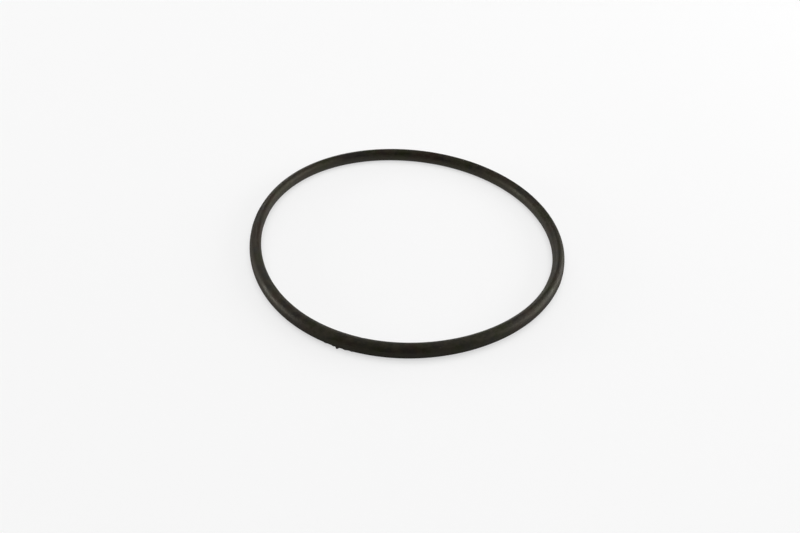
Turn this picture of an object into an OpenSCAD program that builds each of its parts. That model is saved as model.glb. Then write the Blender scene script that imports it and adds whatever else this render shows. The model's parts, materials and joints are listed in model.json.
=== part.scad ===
// Injector sealing ring: one endless moulded rubber ring with an oval section.
// It lies flat. Z is the ring's axis, and the origin is the middle of the bore.

/* [Ring] */
// Inside diameter, across the straight inner wall
bore_d = 41; // [20:0.5:80]

/* [Section] */
// Radial thickness of the section
section_w = 1.55; // [0.8:0.05:4]
// Height of the straight inner and outer walls, between the two rounded lips
wall_h = 0.4; // [0.1:0.05:3]

/* [Hidden] */
lip_r = section_w / 2;
centre_line_r = bore_d / 2 + lip_r;
ring_fn = 240;
lip_fn = 64;

// One rounded lip, tangent to both straight walls
module lip(side) {
    translate([0, side * wall_h / 2])
        circle(r = lip_r, $fn = lip_fn);
}

// Oval section about its own middle: X is radial and Y is along the ring's axis
module section() {
    square([section_w, wall_h], center = true);
    lip(1);
    lip(-1);
}

module sealing_ring() {
    color([0.13, 0.13, 0.12])
        rotate_extrude($fn = ring_fn)
            translate([centre_line_r, 0])
                section();
}

sealing_ring();
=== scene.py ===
"""Injector sealing ring: one black moulded rubber ring, lying free on a pale studio floor."""

import json
import logging
import math
from dataclasses import dataclass, field
from enum import Enum

import bpy
from mathutils import Matrix, Vector, noise


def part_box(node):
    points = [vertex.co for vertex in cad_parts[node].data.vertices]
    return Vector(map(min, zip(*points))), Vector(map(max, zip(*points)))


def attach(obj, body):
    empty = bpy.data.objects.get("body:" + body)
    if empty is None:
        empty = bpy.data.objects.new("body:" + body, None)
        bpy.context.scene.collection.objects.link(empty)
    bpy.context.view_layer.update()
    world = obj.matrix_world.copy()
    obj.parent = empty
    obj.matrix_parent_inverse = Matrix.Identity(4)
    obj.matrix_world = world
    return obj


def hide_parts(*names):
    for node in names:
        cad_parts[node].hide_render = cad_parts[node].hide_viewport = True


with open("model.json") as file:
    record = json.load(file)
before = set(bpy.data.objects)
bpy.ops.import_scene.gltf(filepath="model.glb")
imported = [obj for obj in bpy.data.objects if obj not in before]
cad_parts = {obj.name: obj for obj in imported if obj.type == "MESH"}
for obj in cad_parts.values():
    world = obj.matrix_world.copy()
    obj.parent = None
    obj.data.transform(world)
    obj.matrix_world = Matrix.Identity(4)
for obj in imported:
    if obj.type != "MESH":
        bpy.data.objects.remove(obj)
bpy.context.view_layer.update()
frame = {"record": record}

LOG = logging.getLogger("sealing_ring")
MM = 0.001
NOISE_MIDDLE = 0.5


# ---------------------------------------------------------------- shader maths


class Wire:
    """A shader output. Arithmetic on it adds Math nodes to its tree."""

    def __init__(self, tree: "Tree", socket: bpy.types.NodeSocket) -> None:
        """Wraps one output socket.

        Args:
            tree: The tree that the socket's node belongs to.
            socket: The output socket.
        """
        self.tree = tree
        self.socket = socket

    def maths(self, operation: str, *values: "Wire | float") -> "Wire":
        """Adds one Math node.

        Args:
            operation: The Math node's operation.
            values: Its inputs, in order.

        Returns:
            The node's result.
        """
        return self.tree.node("ShaderNodeMath", {"operation": operation}, dict(enumerate(values)))

    def __add__(self, other: "Wire | float") -> "Wire":
        """Adds."""
        return self.maths("ADD", self, other)

    __radd__ = __add__

    def __sub__(self, other: "Wire | float") -> "Wire":
        """Subtracts."""
        return self.maths("SUBTRACT", self, other)

    def __rsub__(self, other: "Wire | float") -> "Wire":
        """Subtracts this from a number."""
        return self.maths("SUBTRACT", other, self)

    def __mul__(self, other: "Wire | float") -> "Wire":
        """Multiplies."""
        return self.maths("MULTIPLY", self, other)

    __rmul__ = __mul__

    def __truediv__(self, other: "Wire | float") -> "Wire":
        """Divides."""
        return self.maths("DIVIDE", self, other)

    def __rtruediv__(self, other: "Wire | float") -> "Wire":
        """Divides a number by this."""
        return self.maths("DIVIDE", other, self)

    def __pow__(self, other: "Wire | float") -> "Wire":
        """Raises to a power."""
        return self.maths("POWER", self, other)

    def __rpow__(self, other: "Wire | float") -> "Wire":
        """Raises a number to this."""
        return self.maths("POWER", other, self)

    def swing(self) -> "Wire":
        """Gives how far a noise is from its middle."""
        return self - NOISE_MIDDLE

    def sibling(self, output: str) -> "Wire":
        """Gives another output of the same node."""
        return Wire(self.tree, self.socket.node.outputs[output])

    def step(self, low: float, high: float, start: float = 0.0, end: float = 1.0) -> "Wire":
        """Eases from start to end as the value goes from low to high.

        Args:
            low: The value at which the step begins.
            high: The value at which it ends.
            start: The result up to low.
            end: The result from high on.

        Returns:
            The eased value.
        """
        kind = {"interpolation_type": "SMOOTHSTEP"}
        return self.tree.node("ShaderNodeMapRange", kind, {0: self, 1: low, 2: high, 3: start, 4: end})


class Tree:
    """The node tree of one material or world."""

    def __init__(self, owner: "bpy.types.Material | bpy.types.World") -> None:
        """Empties the owner's node tree and takes it over.

        Args:
            owner: The material or world.
        """
        owner.use_nodes = True
        self.nodes = owner.node_tree.nodes
        self.links = owner.node_tree.links
        self.nodes.clear()

    def _add(self, kind: str, settings: dict, values: dict) -> bpy.types.Node:
        """Adds a node of any type.

        Args:
            kind: The node's type.
            settings: Its own settings, which are set first.
            values: Its inputs by name or number: a constant or a Wire.

        Returns:
            The node.
        """
        made = self.nodes.new(kind)
        for name, setting in settings.items():
            setattr(made, name, setting)
        for name, value in values.items():
            if isinstance(value, Wire):
                self.links.new(value.socket, made.inputs[name])
            else:
                made.inputs[name].default_value = value
        return made

    def node(self, kind: str, settings: dict, values: dict, output: "int | str" = 0) -> Wire:
        """Adds a node of any type and gives one of its outputs.

        Args:
            kind: The node's type.
            settings: Its own settings.
            values: Its inputs by name or number: a constant or a Wire.
            output: The output to return.

        Returns:
            That output.
        """
        return Wire(self, self._add(kind, settings, values).outputs[output])

    def finish(self, kind: str, shader: Wire) -> None:
        """Ends the tree with its output node.

        Args:
            kind: The output node's type.
            shader: What the surface or the room shows.
        """
        self._add(kind, {}, {"Surface": shader})

    def mix(self, factor: "Wire | float", low: "Wire | tuple", high: "Wire | tuple") -> Wire:
        """Mixes two colours.

        Args:
            factor: 0 for all of low, 1 for all of high.
            low: The first colour.
            high: The second colour.

        Returns:
            The mixed colour.
        """
        return self.node("ShaderNodeMix", {"data_type": "RGBA"}, {0: factor, 6: low, 7: high}, 2)


# ---------------------------------------------------------------- finishes


Colour = tuple[float, float, float, float]
Span = tuple[float, float]


def grey(level: float, warmth: float = 0.0) -> Colour:
    """Gives a grey that may lean towards olive.

    Args:
        level: Its brightness.
        warmth: How far red rises and blue falls, as a share of the level. Green rises a quarter as far.

    Returns:
        The colour.
    """
    green_rise = 0.25 * warmth
    return (level * (1 + warmth), level * (1 + green_rise), level * (1 - warmth), 1.0)


@dataclass(frozen=True)
class Pattern:
    """An even noise through the rubber. Its size is in metres, and its seed picks one of many like it."""

    size: float
    detail: float = 2.0
    seed: float = 0.0

    def at(self, tree: Tree, place: Wire) -> Wire:
        """Adds the noise.

        Args:
            tree: The material's tree.
            place: The point on the object.

        Returns:
            The noise.
        """
        return tree.node(
            "ShaderNodeTexNoise",
            {"noise_dimensions": "4D"},
            {"Vector": place, "W": self.seed, "Scale": 1.0 / self.size, "Detail": self.detail},
        )


@dataclass(frozen=True)
class RubberFinish:
    """Satin black nitrile rubber, as it comes from a steel mould.

    A span is the stretch of a pattern over which it eases in. A cover is the most of a colour that a
    pattern lays over the black. A pull is how far a pattern moves the roughness, and a height is its share
    of the bump.
    """

    slot: str = "ring_rubber"

    olive_black: Colour = (0.0093, 0.0117, 0.0032, 1.0)
    brown_black: Colour = (0.0160, 0.0074, 0.0058, 1.0)
    hue: Pattern = Pattern(2.6 * MM, seed=7.3)
    hue_span: Span = (0.40, 0.60)
    slate_black: Colour = (0.0092, 0.0089, 0.0108, 1.0)
    slate: Pattern = Pattern(2.34 * MM, seed=9.2)
    slate_span: Span = (0.42, 0.60)
    slate_cover: float = 0.8

    bloom_grey: Colour = (0.0238, 0.0199, 0.0142, 1.0)
    mottle: Pattern = Pattern(2.6 * MM, detail=3.0)
    patch: Pattern = Pattern(8.58 * MM)
    mottle_share: float = 0.6
    bloom_span: Span = (0.42, 0.68)
    bloom_cover: float = 0.4
    dust: Pattern = Pattern(1.0 * MM)
    dust_span: Span = (0.46, 0.60)
    dust_cover: float = 0.5
    speckle: Pattern = Pattern(0.22 * MM)
    speckle_span: Span = (0.42, 0.66)
    speckle_cover: float = 0.4

    speck_grey: Colour = grey(0.085, 0.05)
    speck_spacing: float = 0.42 * MM
    speck_size: Span = (0.055, 0.10)
    speck_chance: Span = (0.86, 0.87)

    roughness: float = 0.47
    mottle_pull: float = 0.20
    rim_pull: float = 0.45
    rim_blend: float = 0.5
    rim_narrowness: float = 3.0
    streak_pull: float = 0.16
    speckle_pull: float = 0.30
    dust_pull: float = 0.30
    bloom_pull: float = 0.05

    peel: Pattern = Pattern(0.36 * MM)
    grain: Pattern = Pattern(0.075 * MM, detail=3.0)
    grain_height: float = 0.35
    streak_width: float = 0.11 * MM
    streak_circle: float = 9.0
    streak_height: float = 0.4
    bump_depth: float = 0.028 * MM

    refraction: float = 1.5
    specular_level: float = 0.35
    specular_tint: Colour = (1.0, 0.95, 0.72, 1.0)

    def make(self, centre_radius: float) -> bpy.types.Material:
        """Builds the material.

        Args:
            centre_radius: Radius of the ring's centre line, which the turning marks follow.

        Returns:
            The material.
        """
        material = bpy.data.materials.new("satin_black_rubber")
        tree = Tree(material)
        place = tree.node("ShaderNodeTexCoord", {}, {}, "Object")
        mottle = self.mottle.at(tree, place)
        bloom = self._bloom(tree, place, mottle)
        dust = self.dust.at(tree, place)
        speckle = self.speckle.at(tree, place)
        streak = self._streaks(tree, place, centre_radius)
        shader = tree.node(
            "ShaderNodeBsdfPrincipled",
            {},
            {
                "Base Color": self._colour(tree, place, bloom, dust, speckle),
                "Roughness": self._roughness(tree, mottle, bloom, dust, speckle, streak),
                "Specular IOR Level": self.specular_level,
                "Specular Tint": self.specular_tint,
                "IOR": self.refraction,
                "Normal": self._bump(tree, place, streak),
            },
        )
        tree.finish("ShaderNodeOutputMaterial", shader)
        return material

    def _bloom(self, tree: Tree, place: Wire, mottle: Wire) -> Wire:
        """Adds the grey bloom that rises in patches on stored rubber.

        Args:
            tree: The material's tree.
            place: The point on the object.
            mottle: The mottled noise.

        Returns:
            1 in full bloom and 0 where there is none.
        """
        patch = self.patch.at(tree, place)
        mixed = mottle * self.mottle_share + patch * (1 - self.mottle_share)
        return mixed.step(*self.bloom_span)

    def _colour(self, tree: Tree, place: Wire, bloom: Wire, dust: Wire, speckle: Wire) -> Wire:
        """Adds the base colour: three blacks, with bloom, dust and specks over them.

        Args:
            tree: The material's tree.
            place: The point on the object.
            bloom: How much bloom there is.
            dust: The dust's noise.
            speckle: The speckled noise.

        Returns:
            The colour.
        """
        hue = self.hue.at(tree, place).step(*self.hue_span)
        colour = tree.mix(hue, self.olive_black, self.brown_black)
        slate = self.slate.at(tree, place).step(*self.slate_span)
        colour = tree.mix(slate * self.slate_cover, colour, self.slate_black)
        cover = bloom * self.bloom_cover
        cover = cover + dust.step(*self.dust_span) * self.dust_cover
        cover = cover + speckle.step(*self.speckle_span) * self.speckle_cover
        colour = tree.mix(cover, colour, self.bloom_grey)
        return tree.mix(self._specks(tree, place), colour, self.speck_grey)

    def _roughness(
        self, tree: Tree, mottle: Wire, bloom: Wire, dust: Wire, speckle: Wire, streak: Wire
    ) -> Wire:
        """Adds the roughness, which drifts with the patterns and rises towards the rims.

        Args:
            tree: The material's tree.
            mottle: The mottled noise.
            bloom: How much bloom there is.
            dust: The dust's noise.
            speckle: The speckled noise.
            streak: The turning marks.

        Returns:
            The roughness.
        """
        facing = tree.node("ShaderNodeLayerWeight", {}, {"Blend": self.rim_blend}, "Facing")
        rough = self.roughness + mottle.swing() * self.mottle_pull
        rough = rough + facing ** self.rim_narrowness * self.rim_pull
        rough = rough + streak.swing() * self.streak_pull
        rough = rough + speckle.swing() * self.speckle_pull
        rough = rough + dust.swing() * self.dust_pull
        return rough + bloom * self.bloom_pull

    def _bump(self, tree: Tree, place: Wire, streak: Wire) -> Wire:
        """Adds the fine bump: an even peel with grain and turning marks in it.

        Args:
            tree: The material's tree.
            place: The point on the object.
            streak: The turning marks.

        Returns:
            The bumped normal.
        """
        height = self.peel.at(tree, place) + self.grain.at(tree, place) * self.grain_height
        height = height + streak * self.streak_height
        depth = {"Strength": 1.0, "Distance": self.bump_depth, "Height": height}
        return tree.node("ShaderNodeBump", {}, depth)

    def _streaks(self, tree: Tree, place: Wire, centre_radius: float) -> Wire:
        """Adds the fine turning marks that the mould left along the ring.

        Args:
            tree: The material's tree.
            place: The point on the object.
            centre_radius: Radius of the ring's centre line.

        Returns:
            A noise that is drawn out along the ring. It is read on a circle, so it has no seam.
        """
        x = tree.node("ShaderNodeSeparateXYZ", {}, {"Vector": place}, "X")
        y, z = x.sibling("Y"), x.sibling("Z")
        radius = (x * x + y * y) ** 0.5
        across = (radius - centre_radius) / self.streak_width
        upward = z / self.streak_width
        first, second = x / radius * self.streak_circle, y / radius * self.streak_circle
        point = tree.node("ShaderNodeCombineXYZ", {}, {0: across, 1: upward, 2: first})
        return tree.node(
            "ShaderNodeTexNoise",
            {"noise_dimensions": "4D"},
            {"Vector": point, "W": second, "Scale": 1.0, "Detail": 2.0},
        )

    def _specks(self, tree: Tree, place: Wire) -> Wire:
        """Adds sparse pale specks of dust.

        Args:
            tree: The material's tree.
            place: The point on the object.

        Returns:
            1 on a speck and 0 elsewhere.
        """
        cell = {"Vector": place, "Scale": 1.0 / self.speck_spacing}
        from_middle = tree.node("ShaderNodeTexVoronoi", {}, cell, "Distance")
        chance = tree.node("ShaderNodeSeparateColor", {}, {"Color": from_middle.sibling("Color")}, "Red")
        return from_middle.step(*self.speck_size, 1.0, 0.0) * chance.step(*self.speck_chance)


# ---------------------------------------------------------------- the ring


class Wall(Enum):
    """One of the ring's two straight walls, and the way it faces."""

    INNER = -1
    OUTER = 1


@dataclass(frozen=True)
class Lobe:
    """One even wave in the ring's outline."""

    waves: int
    depth: float
    peak: float

    def reach(self, angle: float) -> float:
        """Gives its share of the radius.

        Args:
            angle: The place round the ring, from +X.

        Returns:
            The share, about 0.
        """
        return self.depth * math.cos(self.waves * (angle - math.radians(self.peak)))


@dataclass(frozen=True)
class FreeShape:
    """How the soft ring lies when nothing holds it: a little out of round, with its section leaning."""

    lobes: tuple[Lobe, ...] = (Lobe(2, 0.0049, 47.3), Lobe(3, 0.0100, 8.7), Lobe(4, 0.0037, -30.8))
    lean: float = math.radians(7.5)
    lean_swing: float = math.radians(20.5)
    lean_peak: float = math.radians(224.8)
    thickness_swing: float = 0.06
    thickest: float = math.radians(-45.0)

    def stretch(self, angle: float) -> float:
        """Gives the centre line's radius as a share of the round one.

        Args:
            angle: The place round the ring, from +X.

        Returns:
            The share, about 1.
        """
        return 1 + sum(lobe.reach(angle) for lobe in self.lobes)

    def thickness(self, angle: float) -> float:
        """Gives the section's thickness as a share of the even one.

        Args:
            angle: The place round the ring, from +X.

        Returns:
            The share, about 1.
        """
        return 1 + self.thickness_swing * math.cos(angle - self.thickest)

    def tip(self, angle: float) -> float:
        """Gives how far the section's top leans inwards.

        Args:
            angle: The place round the ring, from +X.

        Returns:
            The lean in radians.
        """
        return self.lean + self.lean_swing * math.cos(angle - self.lean_peak)


@dataclass(frozen=True)
class TrimMark:
    """A small nib or nick where the moulding flash was torn off."""

    at: float
    facing: float
    length: float
    width: float
    height: float
    reach: float = 4.0

    def touches(self, along: float) -> bool:
        """Says whether a place so far along the ring is within the mark's reach, in its own lengths."""
        return abs(along) < self.reach * self.length

    def push(self, along: float, around: float) -> float:
        """Gives how far the mark moves the surface.

        Args:
            along: Distance from the mark's middle, along the ring.
            around: Distance from the mark's middle, round the section.

        Returns:
            The move, outwards.
        """
        return self.height * math.exp(-((along / self.length) ** 2) - (around / self.width) ** 2)


@dataclass(frozen=True)
class Bead:
    """The trimmed moulding bead round both walls. Mean, ripple and least are shares of its height."""

    width: float = 0.09 * MM
    height: float = 0.032 * MM
    mean: float = 0.6
    ripple: float = 0.7
    least: float = 0.15
    ripple_circle: float = 14.0
    wall_gap: float = 0.37

    def rise(self, angle: float, wall: Wall) -> float:
        """Gives the bead's height at a place.

        Args:
            angle: The place round the ring, from +X.
            wall: The wall that it is on. Each has its own ripple.

        Returns:
            The bead's height.
        """
        place = Vector((math.cos(angle), math.sin(angle), wall.value * self.wall_gap)) * self.ripple_circle
        return self.height * max(self.least, self.mean + self.ripple * noise.noise(place))


@dataclass(frozen=True)
class Wander:
    """An unevenness of the whole surface, which moves it by up to half its depth each way."""

    name: str
    size: float
    depth: float


@dataclass
class MouldedRing:
    """The sealing ring: an oval section spun round, with its moulding bead and its free shape."""

    bore_radius: float
    outer_radius: float
    height: float
    finish: RubberFinish = field(default_factory=RubberFinish)
    shape: FreeShape = field(default_factory=FreeShape)
    section_steps: int = 72
    round_steps: int = 960
    sectors: int = 16
    weld: float = 0.001 * MM
    cut_tolerance: float = 0.0001 * MM
    bead: Bead = field(default_factory=Bead)
    wanders: tuple[Wander, ...] = (
        Wander("slow", 4.0 * MM, 0.018 * MM),
        Wander("close", 0.7 * MM, 0.005 * MM),
    )
    marks: tuple[TrimMark, ...] = (
        TrimMark(math.radians(251.0), math.radians(-73.0), 0.15 * MM, 0.13 * MM, 0.27 * MM),
        TrimMark(math.radians(246.9), math.radians(-75.0), 0.14 * MM, 0.16 * MM, 0.06 * MM),
        TrimMark(math.radians(249.6), math.radians(-74.0), 0.13 * MM, 0.14 * MM, 0.08 * MM),
        TrimMark(math.radians(253.6), math.radians(-73.0), 0.20 * MM, 0.15 * MM, 0.07 * MM),
        TrimMark(math.radians(255.7), math.radians(-72.0), 0.12 * MM, 0.14 * MM, 0.05 * MM),
        TrimMark(math.radians(258.0), math.radians(118.0), 0.20 * MM, 0.16 * MM, -0.07 * MM),
    )

    @property
    def centre_radius(self) -> float:
        """Radius of the section's centre line."""
        return (self.bore_radius + self.outer_radius) / 2

    @property
    def half_width(self) -> float:
        """Half the section's radial thickness."""
        return (self.outer_radius - self.bore_radius) / 2

    @property
    def half_height(self) -> float:
        """Half the section's height."""
        return self.height / 2

    def build(self) -> bpy.types.Object:
        """Models and dresses the ring.

        Returns:
            The finished piece.
        """
        ring = self._oval()
        self._spin_round()
        self._cut_parting_loops()
        bpy.ops.object.mode_set(mode="OBJECT")
        self._let_go(ring)
        self._wander(ring)
        bpy.ops.object.shade_smooth()
        ring.data.materials.append(self.finish.make(self.centre_radius))
        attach(ring, "root")
        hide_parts("sealing_ring")
        LOG.info("%s: %d faces", ring.name, len(ring.data.polygons))
        return ring

    def _oval(self) -> bpy.types.Object:
        """Adds the oval section at its place, standing in the XZ plane.

        Returns:
            The new piece, in edit mode.
        """
        bpy.ops.object.select_all(action="DESELECT")
        bpy.ops.mesh.primitive_circle_add(
            vertices=self.section_steps,
            radius=self.half_width,
            location=(self.centre_radius, 0, 0),
            rotation=(math.pi / 2, 0, 0),
        )
        ring = bpy.context.active_object
        ring.name = ring.data.name = "moulded_ring"
        bpy.ops.object.transform_apply(location=True, rotation=True, scale=True)
        bpy.ops.object.mode_set(mode="EDIT")
        bpy.ops.mesh.select_all(action="SELECT")
        bpy.ops.transform.resize(
            value=(1, 1, self.half_height / self.half_width),
            center_override=(self.centre_radius, 0, 0),
        )
        return ring

    def _spin_round(self) -> None:
        """Spins the section through one sector, then copies the sector round into a closed ring."""
        sector = math.tau / self.sectors
        steps = self.round_steps // self.sectors
        bpy.ops.mesh.spin(steps=steps, angle=sector, center=(0, 0, 0), axis=(0, 0, 1))
        bpy.ops.mesh.select_all(action="SELECT")
        bpy.ops.mesh.spin(
            steps=self.sectors - 1, angle=math.tau - sector, dupli=True, center=(0, 0, 0), axis=(0, 0, 1)
        )
        bpy.ops.mesh.select_all(action="SELECT")
        bpy.ops.mesh.remove_doubles(threshold=self.weld)
        bpy.ops.mesh.normals_make_consistent(inside=False)

    def _cut_parting_loops(self) -> None:
        """Cuts close loops round the middle of both walls, where the mould's halves met."""
        for height in (-self.bead.width / 2, self.bead.width / 2):
            bpy.ops.mesh.select_all(action="SELECT")
            bpy.ops.mesh.bisect(
                plane_co=(0, 0, height), plane_no=(0, 0, 1), threshold=self.cut_tolerance
            )

    def _trim(self, angle: float, facing: float) -> float:
        """Adds up the trim marks.

        Args:
            angle: The place round the ring.
            facing: The way the surface faces on the section, from outwards to up.

        Returns:
            How far they move the surface outwards.
        """
        total = 0.0
        for mark in self.marks:
            along = math.remainder(angle - mark.at, math.tau) * self.centre_radius
            if mark.touches(along):
                around = math.remainder(facing - mark.facing, math.tau) * self.half_width
                total += mark.push(along, around)
        return total

    def _let_go(self, ring: bpy.types.Object) -> None:
        """Raises the bead and the trim marks, then gives the round ring its free shape on the floor.

        Args:
            ring: The piece, in object mode.
        """
        for vertex in ring.data.vertices:
            x, y, z = vertex.co
            angle = math.atan2(y, x)
            out = math.hypot(x, y) - self.centre_radius
            facing = math.atan2(z / self.half_height, out / self.half_width)
            raised = self._trim(angle, facing)
            if abs(z) < self.weld:
                raised += self.bead.rise(angle, Wall.OUTER if out > 0 else Wall.INNER)
            out = out * self.shape.thickness(angle) + raised * math.cos(facing)
            z += raised * math.sin(facing)
            tip = self.shape.tip(angle)
            half = self.half_width * self.shape.thickness(angle)
            rise = math.hypot(half * math.sin(tip), self.half_height * math.cos(tip))
            leaned = out * math.cos(tip) - z * math.sin(tip)
            lifted = out * math.sin(tip) + z * math.cos(tip)
            radius = self.centre_radius * self.shape.stretch(angle) + leaned
            vertex.co = (
                radius * math.cos(angle),
                radius * math.sin(angle),
                lifted + rise - self.half_height,
            )
        ring.data.update()

    def _wander(self, ring: bpy.types.Object) -> None:
        """Lets the surface wander a little, as moulded rubber does.

        Args:
            ring: The piece, in object mode.
        """
        for wander in self.wanders:
            clouds = bpy.data.textures.new(f"rubber_{wander.name}", "CLOUDS")
            clouds.noise_scale = wander.size
            push = ring.modifiers.new(f"wander_{wander.name}", "DISPLACE")
            push.texture = clouds
            push.texture_coords = "LOCAL"
            push.strength = wander.depth
            push.mid_level = NOISE_MIDDLE
            bpy.ops.object.modifier_apply(modifier=push.name)


# ---------------------------------------------------------------- studio


@dataclass(frozen=True)
class Softbox:
    """A soft lamp that faces the ring. Azimuth 0 is behind the ring, and 90 is to its right.

    Its angles are in degrees, and radiance is how bright its face is. A lamp that isn't mirrored lights the
    ring but doesn't show in its gloss.
    """

    name: str
    azimuth: float
    elevation: float
    distance: float
    width: float
    height: float
    radiance: float
    mirrored: bool = True

    def place(self) -> None:
        """Adds the lamp."""
        turn, tilt = math.radians(self.azimuth), math.radians(self.elevation)
        way = Vector((math.sin(turn) * math.cos(tilt), math.cos(turn) * math.cos(tilt), math.sin(tilt)))
        data = bpy.data.lights.new(self.name, "AREA")
        data.shape = "RECTANGLE"
        data.size = self.width
        data.size_y = self.height
        data.energy = self.radiance * math.pi * self.width * self.height
        lamp = bpy.data.objects.new(self.name, data)
        lamp.location = way * self.distance
        lamp.rotation_euler = way.to_track_quat("Z", "Y").to_euler()
        lamp.visible_camera = False
        lamp.visible_glossy = self.mirrored
        bpy.context.scene.collection.objects.link(lamp)


@dataclass(frozen=True)
class Studio:
    """A pale floor in a dim room, with low softboxes right, left and behind, and weaker light from above.

    In the ring's gloss the floor glows by its inner share inside the ring, a painted reflection that
    brightens the ring's inner wall, and outside it by gloss_share, which fades as a painted shadow where
    the ring shades the floor.
    """

    floor_height: float
    ring_radius: float
    floor_size: float = 3.0
    floor_shade: float = 0.36
    floor_lift: float = 0.585
    backdrop: float = 0.93
    fade_start: float = 0.13
    fade_end: float = 0.32
    shadow_reach: float = 14.0 * MM
    shadow_depth: float = 4.0
    shadow_samples: int = 8
    # In the ring's gloss the floor's glow is dimmed by ambient occlusion near the ring, which is a painted
    # shadow. It is stronger inside the ring, which is a painted reflection on the ring's inner wall.
    gloss_share: float = 0.35
    inner_painted_reflection: float = 0.90
    inner_edge: float = 0.8 * MM
    room: float = 0.06
    room_share: float = 0.03
    lamps: tuple[Softbox, ...] = (
        Softbox("right_softbox", 83.0, 15.0, 0.40, 0.37, 0.23, 3.05),
        Softbox("right_back_softbox", 60.0, 10.0, 0.40, 0.20, 0.15, 2.7),
        Softbox("left_softbox", -92.0, 7.0, 0.40, 0.16, 0.09, 13.4),
        Softbox("left_back_softbox", -22.0, 18.0, 0.42, 0.14, 0.10, 3.7),
        Softbox("back_softbox", -10.0, 9.0, 0.42, 0.16, 0.13, 1.95),
        Softbox("high_left_softbox", -60.0, 40.0, 0.50, 0.30, 0.20, 0.75),
        Softbox("high_right_softbox", 50.0, 40.0, 0.50, 0.30, 0.20, 1.35),
        Softbox("overhead_fill", 0.0, 88.0, 0.50, 0.60, 0.60, 2.0, mirrored=False),
    )

    def build(self) -> None:
        """Builds the floor, the room and the lamps."""
        self._floor()
        self._room()
        for lamp in self.lamps:
            lamp.place()
        LOG.info("studio: %d lamps", len(self.lamps))

    @staticmethod
    def _seen(tree: Tree, mirrored: "Wire | float") -> Wire:
        """Gives how much of the white background a ray sees.

        Args:
            tree: The floor's or the room's tree.
            mirrored: The share that gloss and glass show.

        Returns:
            1 for the camera, the share for gloss and glass, and 0 for the light on the ring.
        """
        camera = tree.node("ShaderNodeLightPath", {}, {}, "Is Camera Ray")
        glossy, through = camera.sibling("Is Glossy Ray"), camera.sibling("Is Transmission Ray")
        return camera + glossy.maths("MAXIMUM", glossy, through) * mirrored

    def _floor(self) -> None:
        """Adds the floor, which shows pale, keeps the ring's shadow and fades into the backdrop."""
        bpy.ops.object.select_all(action="DESELECT")
        bpy.ops.mesh.primitive_plane_add(size=self.floor_size, location=(0, 0, self.floor_height))
        floor = bpy.context.active_object
        floor.name = "floor"
        material = bpy.data.materials.new("pale_floor")
        tree = Tree(material)
        place = tree.node("ShaderNodeTexCoord", {}, {}, "Object")
        far = tree.node("ShaderNodeVectorMath", {"operation": "LENGTH"}, {0: place}, "Value")
        fade = far.step(self.fade_start, self.fade_end)
        open_sky = tree.node(
            "ShaderNodeAmbientOcclusion",
            {"samples": self.shadow_samples},
            {"Distance": self.shadow_reach},
            "AO",
        )
        # Painted reflection: inside the ring the floor glows more strongly in the gloss, which brightens
        # the ring's inner wall.
        inside = far.step(self.ring_radius - self.inner_edge, self.ring_radius, 1.0, 0.0)
        # Painted shadow: outside the ring the floor's glow in the gloss is dimmed by ambient occlusion near
        # the ring.
        gloss_share_with_painted_shadow = open_sky ** self.shadow_depth * self.gloss_share
        seen = self._seen(tree, gloss_share_with_painted_shadow + inside * (self.inner_painted_reflection - gloss_share_with_painted_shadow))
        shade = tree.mix(fade, grey(self.floor_shade), grey(0.0))
        matt = tree.node("ShaderNodeBsdfDiffuse", {}, {"Color": shade})
        lift = seen * (self.floor_lift + fade * (self.backdrop - self.floor_lift))
        glow = tree.node("ShaderNodeEmission", {}, {"Color": grey(1.0), "Strength": lift})
        both = tree.node("ShaderNodeAddShader", {}, {0: matt, 1: glow})
        tree.finish("ShaderNodeOutputMaterial", both)
        floor.data.materials.append(material)

    def _room(self) -> None:
        """Sets the dim, even light of the room, which shows the camera a white backdrop."""
        world = bpy.data.worlds.new("room")
        bpy.context.scene.world = world
        tree = Tree(world)
        strength = self.room + self._seen(tree, self.room_share) * (self.backdrop - self.room)
        light = tree.node("ShaderNodeBackground", {}, {"Color": grey(1.0), "Strength": strength})
        tree.finish("ShaderNodeOutputWorld", light)


@dataclass(frozen=True)
class ViewCamera:
    """The camera. Distance, right and up are in units, which are radii of the ring's centre line."""

    unit: float
    lens: float = 31.5
    frame_width: float = 36.0
    nearest: float = 1.0 * MM
    farthest: float = 20.0
    elevation: float = math.radians(41.6)
    roll: float = math.radians(5.01)
    distance: float = 4.6513
    right: float = -0.0454
    up: float = -0.1969

    def place(self) -> None:
        """Adds the camera and makes it the scene's own."""
        back = Vector((0, -math.cos(self.elevation), math.sin(self.elevation)))
        level = Vector((1, 0, 0))
        rise = back.cross(level)
        across = level * math.cos(self.roll) + rise * math.sin(self.roll)
        upright = rise * math.cos(self.roll) - level * math.sin(self.roll)
        spot = (back * self.distance + across * self.right + upright * self.up) * self.unit
        data = bpy.data.cameras.new("camera")
        data.lens = self.lens
        data.sensor_width = self.frame_width
        data.clip_start = self.nearest
        data.clip_end = self.farthest
        camera = bpy.data.objects.new("camera", data)
        axes = Matrix((across, upright, back)).transposed()
        camera.matrix_world = Matrix.Translation(spot) @ axes.to_4x4()
        bpy.context.scene.collection.objects.link(camera)
        bpy.context.scene.camera = camera


# ---------------------------------------------------------------- main


def radius_of(mount_name: str) -> float:
    """Reads a round mount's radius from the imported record.

    Args:
        mount_name: The mount's name.

    Returns:
        The radius in metres.
    """
    mounts = {mount["name"]: mount for mount in frame["record"]["mounts"]}
    return mounts[mount_name]["dims"]["r_mm"] * MM


def main() -> None:
    """Builds the ring, the studio and the camera."""
    logging.basicConfig(level=logging.INFO, format="%(name)s: %(message)s")
    low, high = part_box("sealing_ring")
    ring = MouldedRing(radius_of("bore"), radius_of("outer_wall"), high[2] - low[2])
    ring.build()
    Studio(floor_height=low[2], ring_radius=ring.centre_radius).build()
    ViewCamera(unit=ring.centre_radius).place()
    bpy.context.scene.view_settings.view_transform = "Standard"


if __name__ == "__main__":
    main()
